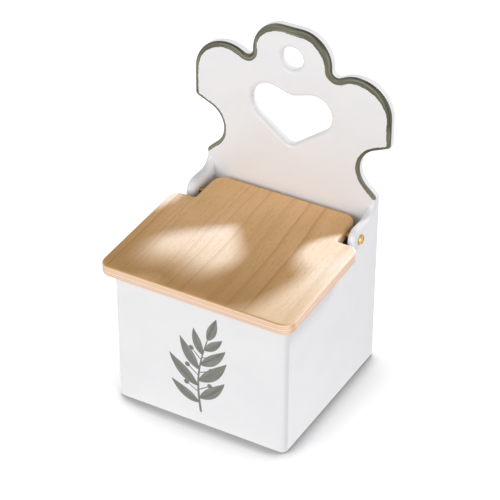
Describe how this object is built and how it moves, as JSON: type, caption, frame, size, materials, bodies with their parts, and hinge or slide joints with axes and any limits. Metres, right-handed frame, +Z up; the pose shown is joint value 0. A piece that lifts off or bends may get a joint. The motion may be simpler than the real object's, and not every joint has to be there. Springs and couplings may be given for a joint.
{
  "type": "salt pot",
  "caption": "Square glazed ceramic salt pot with a scalloped back plate, a heart cut-out and a hanging hole, closed by a beech lid that swings up on brass screws.",
  "frame": {"origin": "middle of the foot, on the surface that the pot stands on", "axes": "+X to the right as seen from the front, -Y to the front, +Z up along the back plate"},
  "size_m": [0.138, 0.1278, 0.2273],
  "materials": {
    "white_glaze": "glossy white glaze",
    "oiled_beech": "oiled, fine straight grain",
    "screw_brass": "bright turned brass"
  },
  "bodies": {
    "pot": {"pot": "white_glaze"},
    "lid": {"lid_board": "oiled_beech", "hinge_screw_left": "screw_brass", "hinge_screw_right": "screw_brass"}
  },
  "joints": [
    {"name": "lid_hinge", "type": "hinge", "parent": "pot", "child": "lid", "pos_m": [0, 0.0342, 0.1048], "axis": [-1, 0, 0], "range_deg": [0, 101]}
  ]
}
